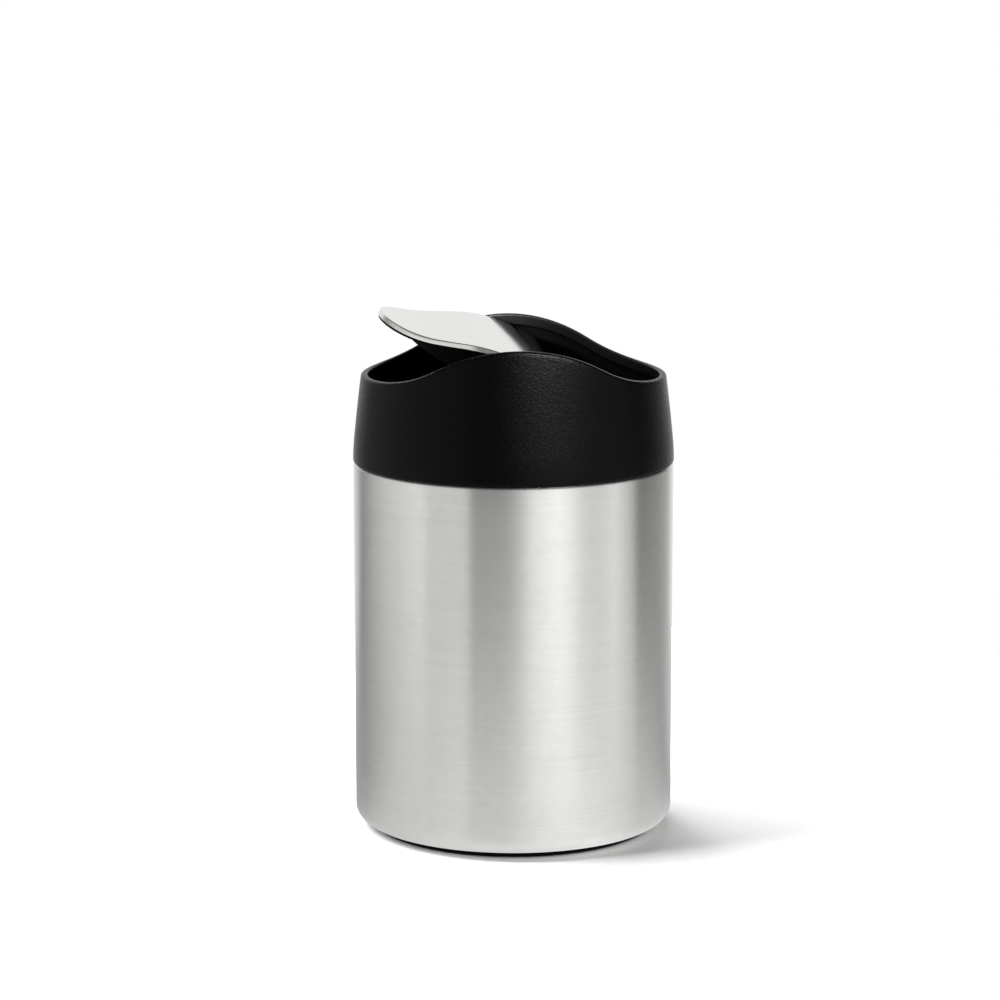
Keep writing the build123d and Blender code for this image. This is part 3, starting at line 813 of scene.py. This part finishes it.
@dataclass
class Drum(SubAssembly):
    """Steel drum with its mouth collar, base pan and foot ring."""

    radius: float = 60.0
    seam: float = 139.5
    steel: float = 0.7
    foot: float = 2.6
    foot_round: float = 5.0
    foot_hem: float = 53.3
    foot_hem_top: float = 7.0
    mouth_hem: float = 57.3
    mouth_hem_depth: float = 2.1
    collar_gap: float = 0.1
    collar_recess: float = 1.0
    collar_bottom: float = 121.0
    collar_wall: float = 1.4
    ledge_root_in: float = 1.9
    ledge_root_drop: float = 4.5
    ledge_edge: float = 2.2
    ledge_radius: float = 54.6
    ledge_top: float = 129.0
    ring_inner: float = 49.0
    ring_outer: float = 52.4
    ring_top: float = 2.0
    steps: int = 240

    body = "drum"
    copied = (Copied("base_pan", "drum_base_pan", Slot.INNER),)

    def own_pieces(self) -> Iterable[bpy.types.Object]:
        """The shell, the collar and the foot ring."""
        return self.shell(), self.collar(), self.foot_ring()

    def shell(self) -> bpy.types.Object:
        """The steel, hemmed inwards at the mouth and turned up round the base."""
        steel = self.steel
        hem_end = self.seam - self.mouth_hem_depth
        corners = (
            Corner(self.foot_hem, self.foot_hem_top),
            Corner(self.foot_hem, self.foot, 0.9),
            Corner(self.radius, self.foot, self.foot_round),
            Corner(self.radius, self.seam, 1.1),
            Corner(self.mouth_hem, self.seam, 0.9),
            Corner(self.mouth_hem, hem_end),
            Corner(self.mouth_hem + steel, hem_end),
            Corner(self.mouth_hem + steel, self.seam - steel, 0.2),
            Corner(self.radius - steel, self.seam - steel, 0.4),
            Corner(self.radius - steel, self.foot + steel, self.foot_round - steel),
            Corner(self.foot_hem + steel, self.foot + steel, 0.2),
            Corner(self.foot_hem + steel, self.foot_hem_top),
        )
        mesh = Section(corners, longest=9.0, arc_steps=8).spun(self.steps)
        piece = finished("drum_steel_shell", mesh, Slot.SHELL)
        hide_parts("outer_shell")
        return piece

    def collar(self) -> bpy.types.Object:
        """The plastic collar in the mouth, with the ledge that the bucket hangs on."""
        inside = self.mouth_hem + self.steel + self.collar_gap
        outer = self.radius - self.steel - self.collar_gap
        hem_end = self.seam - self.mouth_hem_depth - self.collar_gap
        top = self.seam - self.collar_recess
        corners = (
            Corner(inside, top, 0.15),
            Corner(outer, top, 0.5),
            Corner(outer, self.collar_bottom, 0.3),
            Corner(outer - self.collar_wall, self.collar_bottom, 0.3),
            Corner(outer - self.ledge_root_in, self.ledge_top - self.ledge_root_drop),
            Corner(self.ledge_radius, self.ledge_top - self.ledge_edge, 0.4),
            Corner(self.ledge_radius, self.ledge_top, 0.4),
            Corner(self.mouth_hem, self.ledge_top),
            Corner(self.mouth_hem, hem_end),
            Corner(inside, hem_end),
        )
        mesh = Section(corners, longest=6.0, arc_steps=4).spun(self.steps)
        piece = finished("drum_mouth_collar", mesh, Slot.INNER)
        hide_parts("mouth_collar")
        return piece

    def foot_ring(self) -> bpy.types.Object:
        """The soft ring that the bin stands on."""
        corners = (
            Corner(self.ring_inner, self.ring_top),
            Corner(self.ring_inner, 0.0, 0.4),
            Corner(self.ring_outer, 0.0, 0.4),
            Corner(self.ring_outer, self.ring_top),
        )
        mesh = Section(corners, longest=4.0, arc_steps=5).spun(self.steps)
        piece = finished("drum_foot_ring", mesh, Slot.RUBBER)
        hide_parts("foot_ring")
        return piece


@dataclass
class Bucket(SubAssembly):
    """The lift-out bucket."""

    body = "bucket"
    copied = (Copied("inner_bucket", "liftout_bucket", Slot.BUCKET),)


@dataclass
class LidRing(SubAssembly):
    """Black ring with its wavy rim, the funnel inside it and the pivot bearings."""

    foot_radius: float = 60.2
    seam: float = 139.5
    foot_curve: float = 90.0
    lean: float = 5.5
    side_curve: float = 700.0
    lip: float = 2.6
    lip_band: float = 4.2
    lip_round: float = 0.9
    lip_step: float = 0.1
    wall: float = 1.5
    shoulder: float = 141.5
    shoulder_step: float = 0.3
    skirt_tip: float = 0.6
    skirt_lead: float = 1.2
    wave_from: float = 2.0
    wave_clear: float = 0.6
    skirt_outer: float = 56.9
    skirt_inner: float = 55.2
    skirt_bottom: float = 131.1
    band_bottom: float = 133.5
    band_top: float = 136.0
    band_depth: float = 0.8
    band_proud: float = 0.15
    band_steps: int = 180
    steps: int = 320
    settling_rounds: int = 4
    rim: Wave = Wave(188.0, 60.0, 29.0, 3.4, 50.0)

    body = "lid_ring"
    copied = (
        Copied("chute_liner", "ring_funnel", Slot.INNER),
        Copied("bush_front", "pivot_bush_front", Slot.BEARING),
        Copied("bush_rear", "pivot_bush_rear", Slot.BEARING),
        Copied("liner_screws", "funnel_screws", Slot.FASTENER),
        Copied("stop_pads", "lid_stop_pads", Slot.RUBBER),
    )

    def own_pieces(self) -> Iterable[bpy.types.Object]:
        """The ring itself and its grip band."""
        return self.ring(), self.grip_band()

    def side(self, height: float) -> float:
        """Radius of the ring's outside at a height.

        Args:
            height: The height, in millimetres.

        Returns:
            The radius, in millimetres.
        """
        lean = math.radians(self.lean)
        rise = min(max(height - self.seam, 0.0), self.foot_curve * math.sin(lean))
        foot = self.foot_radius - self.foot_curve + math.sqrt(self.foot_curve**2 - rise**2)
        above = height - self.seam - rise
        if above <= 0:
            return foot
        start = self.side_curve * math.sin(lean)
        return foot - self.side_curve * math.cos(lean) + math.sqrt(self.side_curve**2 - (start + above) ** 2)

    def straight_section(self) -> Section:
        """The ring's section with its outside drawn upright, to be curved after the spin."""
        outer = self.foot_radius
        crest = self.rim.crest
        meet = self.seam + self.foot_curve * math.sin(math.radians(self.lean))
        shoulder_inset = self.wall - self.shoulder_step
        corners = (
            Corner(outer, self.seam, 1.0),
            Corner(outer, crest, self.lip_round),
            Corner(outer - self.lip, crest, self.lip_round),
            Corner(outer - self.lip, crest - self.lip_band, 0.25),
            Corner(outer - self.wall, crest - self.lip_band, 0.25),
            Corner(outer - self.wall, meet),
            Corner(outer - shoulder_inset, self.shoulder, 0.3),
            Corner(self.skirt_inner, self.shoulder),
            Corner(self.skirt_inner, self.skirt_bottom, 0.3),
            Corner(self.skirt_outer - self.skirt_tip, self.skirt_bottom),
            Corner(self.skirt_outer, self.skirt_bottom + self.skirt_lead),
            Corner(self.skirt_outer, self.band_bottom),
            Corner(self.skirt_outer - self.band_depth, self.band_bottom),
            Corner(self.skirt_outer - self.band_depth, self.band_top),
            Corner(self.skirt_outer, self.band_top),
            Corner(self.skirt_outer, self.seam),
        )
        return Section(corners, longest=1.6, arc_steps=6)

    def shaped(self, place: Vector) -> Vector:
        """Where a point of the straight ring goes on the curved and waved one.

        Args:
            place: The point, in metres.

        Returns:
            Its place, in metres.
        """
        out = math.hypot(place.x, place.y) / MM
        nominal = place.z / MM
        inset = self.foot_radius - out
        start = self.seam + self.wave_from
        end = self.rim.crest - self.lip_band - self.wave_clear
        share = min(max((nominal - start) / (end - start), 0.0), 1.0)
        outward = Vector((place.x, place.y, 0.0)).normalized()
        radius = out
        height = nominal
        for _ in range(self.settling_rounds):
            drop = self.rim.crest - self.rim.height(radius * outward.x)
            height = nominal - drop * share
            radius = self.side(height) - inset
        return outward * radius * MM + Vector((0.0, 0.0, height * MM))

    def ring(self) -> bpy.types.Object:
        """The ring: spun straight, given smoother finishes on its inside, a lighter one on the lip as
        painted light and a darker one under it as painted shade, then curved and waved.
        """
        mesh = self.straight_section().spun(self.steps)
        inside = (self.foot_radius - self.lip / 2) * MM
        undercut = (self.rim.crest - self.lip_band - self.lip_step) * MM
        lit_lip_index, shaded_wall_index = 1, 2
        # The lip's inner half takes the painted-light copy, the wall under the lip the painted-shade copy.
        for face in mesh.faces:
            middle = face.calc_center_median()
            if middle.xy.length < inside and middle.z > self.shoulder * MM:
                face.material_index = shaded_wall_index if middle.z < undercut else lit_lip_index
        for point in mesh.verts:
            point.co = self.shaped(point.co)
        piece = finished("ring_shell", mesh, Slot.RING)
        for finish in RING_LIT_AND_SHADED_FINISHES:
            piece.data.materials.append(finish.material())
        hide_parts("rim_ring")
        return piece

    def grip_band(self) -> bpy.types.Object:
        """The soft band round the plug skirt."""
        inner = self.skirt_outer - self.band_depth
        outer = self.skirt_outer + self.band_proud
        corners = (
            Corner(inner, self.band_bottom),
            Corner(outer, self.band_bottom, 0.15),
            Corner(outer, self.band_top, 0.15),
            Corner(inner, self.band_top),
        )
        mesh = Section(corners, longest=4.0, arc_steps=3).spun(self.band_steps)
        piece = finished("ring_grip_band", mesh, Slot.RUBBER)
        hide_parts("grip_band")
        return piece


@dataclass
class SeeSawLid(SubAssembly):
    """Polished lid skin on its black carrier, with pivot pins and balance weight."""

    half_length: float = 52.45
    half_width: float = 51.5
    skin: float = 0.7
    hem_depth: float = 1.9
    hem: float = 0.8
    edge_round: float = 0.3
    hem_round: float = 0.1
    pivot_height: float = 178.8
    tilt: float = 26.7
    steps: int = 256
    wave: Wave = Wave(5.15, 63.0, 21.2, 8.6, 58.0)

    body = "lid"
    copied = (
        Copied("lid_carrier", "lid_carrier_moulding", Slot.INNER),
        Copied("pivot_pin_front", "pivot_pin_near", Slot.PIN),
        Copied("pivot_pin_rear", "pivot_pin_far", Slot.PIN),
        Copied("pin_clips", "pivot_clips", Slot.FASTENER),
        Copied("balance_weight", "lid_balance_weight", Slot.WEIGHT),
        Copied("weight_cover", "lid_weight_cover", Slot.INNER),
        Copied("cover_screws", "lid_cover_screws", Slot.FASTENER),
    )

    def own_pieces(self) -> Iterable[bpy.types.Object]:
        """The polished skin."""
        return (self.polished_skin(),)

    def polished_skin(self) -> bpy.types.Object:
        """The skin: a hemmed disc, made oval, waved and tilted into place."""
        corners = (
            Corner(0.0, 0.0),
            Corner(self.half_length, 0.0, self.edge_round),
            Corner(self.half_length, -self.hem_depth, self.hem_round),
            Corner(self.half_length - self.hem, -self.hem_depth, self.hem_round),
            Corner(self.half_length - self.hem, -self.skin),
            Corner(0.0, -self.skin),
        )
        mesh = Section(corners, longest=1.1, arc_steps=5).spun(self.steps)
        for point in mesh.verts:
            point.co.y *= self.half_width / self.half_length
            point.co.z += self.wave.height(point.co.x / MM) * MM
        tilted = Matrix.Rotation(math.radians(self.tilt), 3, "Y")
        bmesh.ops.rotate(mesh, verts=mesh.verts[:], matrix=tilted)
        bmesh.ops.translate(mesh, verts=mesh.verts[:], vec=(0.0, 0.0, self.pivot_height * MM))
        piece = finished("lid_polished_skin", mesh, Slot.LID)
        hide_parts("lid_skin")
        return piece


# ---------------------------------------------------------------------------
# Studio
# ---------------------------------------------------------------------------


@dataclass(frozen=True)
class Strip:
    """One level of the surround or of the floor's glow, at an azimuth seen from the bin."""

    azimuth: float
    level: float


def strips_at(*pairs: tuple[float, float]) -> tuple[Strip, ...]:
    """Strips from pairs of azimuth and level.

    Args:
        pairs: Azimuth in degrees and level, in order from the back round to the back.

    Returns:
        The strips.
    """
    return tuple(Strip(azimuth, level) for azimuth, level in pairs)


@dataclass(frozen=True)
class Softbox:
    """A rectangular studio lamp that faces the bin, or that lights one piece's gloss alone."""

    name: str
    azimuth: float
    elevation: float
    distance: float
    width: float
    height: float
    watts: float
    glint_on: str = ""

    def place(self, aim: Vector) -> None:
        """Hang the lamp in the studio, for every diffuse surface or for one piece's gloss.

        Args:
            aim: The point it faces.
        """
        lamp = bpy.data.lights.new(self.name, "AREA")
        lamp.shape = "RECTANGLE"
        lamp.size = self.width
        lamp.size_y = self.height
        lamp.energy = self.watts
        holder = bpy.data.objects.new(self.name, lamp)
        back = direction(self.azimuth, self.elevation)
        holder.location = aim + back * self.distance
        holder.rotation_euler = back.to_track_quat("Z", "Y").to_euler()
        holder.visible_glossy = bool(self.glint_on)
        if self.glint_on:
            lit = bpy.data.collections.new(self.name)
            lit.objects.link(bpy.data.objects[self.glint_on])
            holder.light_linking.receiver_collection = lit
            holder.visible_diffuse = False
        bpy.context.scene.collection.objects.link(holder)


def direction(azimuth: float, elevation: float) -> Vector:
    """Unit vector from the bin towards an azimuth and elevation.

    Args:
        azimuth: Degrees round from the front, towards +X.
        elevation: Degrees above the horizon.

    Returns:
        The vector.
    """
    turn, rise = math.radians(azimuth), math.radians(elevation)
    return Vector((math.sin(turn) * math.cos(rise), -math.cos(turn) * math.cos(rise), math.sin(rise)))


@dataclass
class Studio:
    """Pale floor, surround with soft upright strips, softboxes and camera.

    The floor has one tone as lit, one as the camera sees it with a small lift, and one
    with a glow by azimuth as the bin's steel mirrors it.
    """

    camera_azimuth: float = -2.398
    camera_elevation: float = 10.408
    camera_distance: float = 1.3
    camera_aim: tuple[float, float, float] = (-0.005065, 0.0, 0.124153)
    lens: float = 124.34
    sensor: float = 36.0
    floor_radius: float = 0.35
    floor_sides: int = 128
    floor_tone: float = 0.88
    floor_seen_tone: float = 1.15
    floor_mirror_tone: float = 0.12
    floor_mirror_glow: float = 1.05
    floor_lift: float = 0.04
    floor_strips: tuple[Strip, ...] = strips_at(
        (-180, 0.85), (-160, 0.3), (-140, 0.18), (-120, 0.24), (-105, 0.32), (-75, 0.62),
        (-50, 0.73), (-30, 0.9), (0, 1.0), (30, 1.2), (60, 0.92), (85, 0.8), (100, 0.6),
        (120, 0.36), (150, 0.5),
    )
    strips: tuple[Strip, ...] = strips_at(
        (-180, 1.0), (-166, 0.85), (-155, 0.66), (-144, 0.3), (-132, 0.48), (-122, 0.65),
        (-107, 0.9), (-90, 1.07), (-76, 1.3), (-70, 1.3), (-66, 0.94), (-41, 0.98), (-36, 0.98),
        (-31, 0.24), (-14, 0.31), (-5, 0.38), (3, 0.72), (11, 1.42), (20, 1.62), (29, 1.78),
        (38, 1.6), (48, 1.04), (58, 0.92), (68, 1.11), (74, 1.35), (84, 1.0), (92, 0.72),
        (98, 0.23), (108, 0.34), (125, 0.46), (146, 0.62), (160, 1.0),
    )
    high_strips: tuple[Strip, ...] = strips_at(
        (-180, 0.93), (-152, 0.93), (-140, 0.35), (-120, 0.7), (-90, 1.0), (-66, 0.95), (-38, 0.85),
        (-32, 0.28), (-8, 0.3), (11, 1.1), (29, 1.5), (48, 1.0), (74, 1.0), (92, 0.6), (100, 0.1),
        (138, 0.15), (152, 0.93),
    )
    lamp_aim: tuple[float, float, float] = (0.0, 0.0, 0.1)
    ceiling: float = 0.1
    high_start: float = -6.0
    high_end: float = 4.0
    ceiling_start: float = 20.0
    ceiling_end: float = 30.0
    softboxes: tuple[Softbox, ...] = (
        Softbox("left_key", -81.0, 52.0, 2.2, 0.7, 1.2, 44.0),
        Softbox("left_rear_key", -150.0, 52.0, 2.2, 1.2, 1.2, 27.0),
        Softbox("rear_key", -180.0, 52.0, 2.2, 1.2, 1.2, 20.0),
        Softbox("ring_glint", 28.0, 32.0, 1.6, 1.0, 0.2, 74.0, "ring_shell"),
    )

    def build(self) -> None:
        """Lay the floor, light it and set the camera."""
        self.sweep()
        self.surround()
        for softbox in self.softboxes:
            softbox.place(Vector(self.lamp_aim))
        self.camera()

    def sweep(self) -> None:
        """The pale floor, which keeps the bin's shadow."""
        mesh = bmesh.new()
        bmesh.ops.create_circle(mesh, cap_ends=True, radius=self.floor_radius, segments=self.floor_sides)
        data = bpy.data.meshes.new("studio_floor")
        mesh.to_mesh(data)
        mesh.free()
        floor = bpy.data.objects.new("studio_floor", data)
        bpy.context.scene.collection.objects.link(floor)
        data.materials.append(self.sweep_material())

    def sweep_material(self) -> bpy.types.Material:
        """White paint, brighter to the camera than it is lit, with its own levels in the steel."""
        material = bpy.data.materials.new("studio_white")
        material.use_nodes = True
        tree = material.node_tree
        tree.nodes.clear()
        wiring = Wiring(tree)
        path = wiring.add("ShaderNodeLightPath")
        mirrored = path.outputs["Is Glossy Ray"]
        paint = wiring.add("ShaderNodeBsdfDiffuse")
        plain, seen_tone, mirror_tone = (
            (tone, tone, tone, 1.0)
            for tone in (self.floor_tone, self.floor_seen_tone, self.floor_mirror_tone)
        )
        toned = wiring.blend(path.outputs["Is Camera Ray"], plain, seen_tone)
        wiring.feed(paint.inputs["Color"], wiring.blend(mirrored, toned, mirror_tone))
        glow = wiring.add("ShaderNodeEmission")
        seen = wiring.math("MULTIPLY", path.outputs["Is Camera Ray"], self.floor_lift)
        level = self.strip_ramp(wiring, self.turn(wiring, wiring.object_place())[0], self.floor_strips)
        caught = wiring.math("MULTIPLY", mirrored, wiring.math("MULTIPLY", level, self.floor_mirror_glow))
        wiring.feed(glow.inputs["Strength"], wiring.math("ADD", seen, caught))
        lit = wiring.add("ShaderNodeAddShader")
        wiring.feed(lit.inputs[0], paint.outputs[0])
        wiring.feed(lit.inputs[1], glow.outputs[0])
        output = wiring.add("ShaderNodeOutputMaterial")
        wiring.feed(output.inputs["Surface"], lit.outputs[0])
        return material

    def surround(self) -> None:
        """White for the camera, and soft upright strips under a dark ceiling for everything else."""
        world = bpy.data.worlds.new("studio_surround")
        bpy.context.scene.world = world
        world.use_nodes = True
        tree = world.node_tree
        tree.nodes.clear()
        wiring = Wiring(tree)
        turn, up = self.turn(wiring, wiring.add("ShaderNodeTexCoord").outputs["Generated"])
        rise = wiring.math("ARCSINE", up)
        low = self.strip_ramp(wiring, turn, self.strips)
        high = self.strip_ramp(wiring, turn, self.high_strips)
        walls = wiring.blend(self.climb(wiring, rise, self.high_start, self.high_end), low, high)
        shut = self.climb(wiring, rise, self.ceiling_start, self.ceiling_end)
        room = wiring.blend(shut, walls, (self.ceiling, self.ceiling, self.ceiling, 1.0))
        path = wiring.add("ShaderNodeLightPath")
        colour = wiring.blend(path.outputs["Is Camera Ray"], room, (1.0, 1.0, 1.0, 1.0))
        backdrop = wiring.add("ShaderNodeBackground")
        wiring.feed(backdrop.inputs["Color"], colour)
        output = wiring.add("ShaderNodeOutputWorld")
        wiring.feed(output.inputs["Surface"], backdrop.outputs[0])

    @staticmethod
    def turn(
        wiring: Wiring, vector: bpy.types.NodeSocket
    ) -> tuple[bpy.types.NodeSocket, bpy.types.NodeSocket]:
        """A vector's azimuth from the front towards +X, in radians, and its Z part.

        Args:
            wiring: The tree's wiring.
            vector: The vector.

        Returns:
            The azimuth and the Z part.
        """
        split = wiring.add("ShaderNodeSeparateXYZ")
        wiring.feed(split.inputs[0], vector)
        towards_front = wiring.math("MULTIPLY", split.outputs["Y"], -1.0)
        return wiring.math("ARCTAN2", split.outputs["X"], towards_front), split.outputs["Z"]

    @staticmethod
    def climb(wiring: Wiring, rise: bpy.types.NodeSocket, start: float, end: float) -> bpy.types.NodeSocket:
        """How far a direction has climbed between two elevations, 0 to 1.

        Args:
            wiring: The tree's wiring.
            rise: The direction's elevation, in radians.
            start: The lower elevation, in degrees.
            end: The upper elevation, in degrees.

        Returns:
            The share.
        """
        return wiring.remap(rise, math.radians(start), math.radians(end), 0.0, 1.0)

    @staticmethod
    def strip_ramp(
        wiring: Wiring, turn: bpy.types.NodeSocket, strips: Sequence[Strip]
    ) -> bpy.types.NodeSocket:
        """The strips' levels by azimuth.

        Args:
            wiring: The tree's wiring.
            turn: The direction's azimuth, in radians.
            strips: The strips, in order from the back round to the back.

        Returns:
            The colour socket.
        """
        ramp = wiring.add("ShaderNodeValToRGB")
        wiring.feed(ramp.inputs[0], wiring.remap(turn, -math.pi, math.pi, 0.0, 1.0))
        elements = ramp.color_ramp.elements
        peak = max(strip.level for strip in strips)
        while len(elements) < len(strips):
            elements.new(1.0)
        for element, strip in zip(elements, strips):
            element.position = (strip.azimuth + 180.0) / 360.0
            element.color = (strip.level / peak,) * 3 + (1.0,)
        return wiring.vector_math("MULTIPLY", ramp.outputs["Color"], (peak,) * 3)

    def camera(self) -> None:
        """A long lens that looks slightly down at the bin."""
        data = bpy.data.cameras.new("studio_camera")
        data.lens = self.lens
        data.sensor_width = self.sensor
        camera = bpy.data.objects.new("studio_camera", data)
        back = direction(self.camera_azimuth, self.camera_elevation)
        camera.location = Vector(self.camera_aim) + back * self.camera_distance
        camera.rotation_euler = back.to_track_quat("Z", "Y").to_euler()
        bpy.context.scene.collection.objects.link(camera)
        bpy.context.scene.camera = camera


# ---------------------------------------------------------------------------
# The whole scene
# ---------------------------------------------------------------------------


def main() -> None:
    """Build the sub-assemblies and the studio, and say what was built."""
    logging.basicConfig(level=logging.INFO, format="%(name)s: %(message)s")
    bpy.context.scene.view_settings.view_transform = "Standard"
    assemblies: Sequence[SubAssembly] = (Drum(), Bucket(), LidRing(), SeeSawLid())
    for assembly in assemblies:
        for piece in assembly.build():
            LOG.info("%s rides on %s with %d faces", piece.name, assembly.body, len(piece.data.polygons))
    Studio().build()


if __name__ == "__main__":
    main()
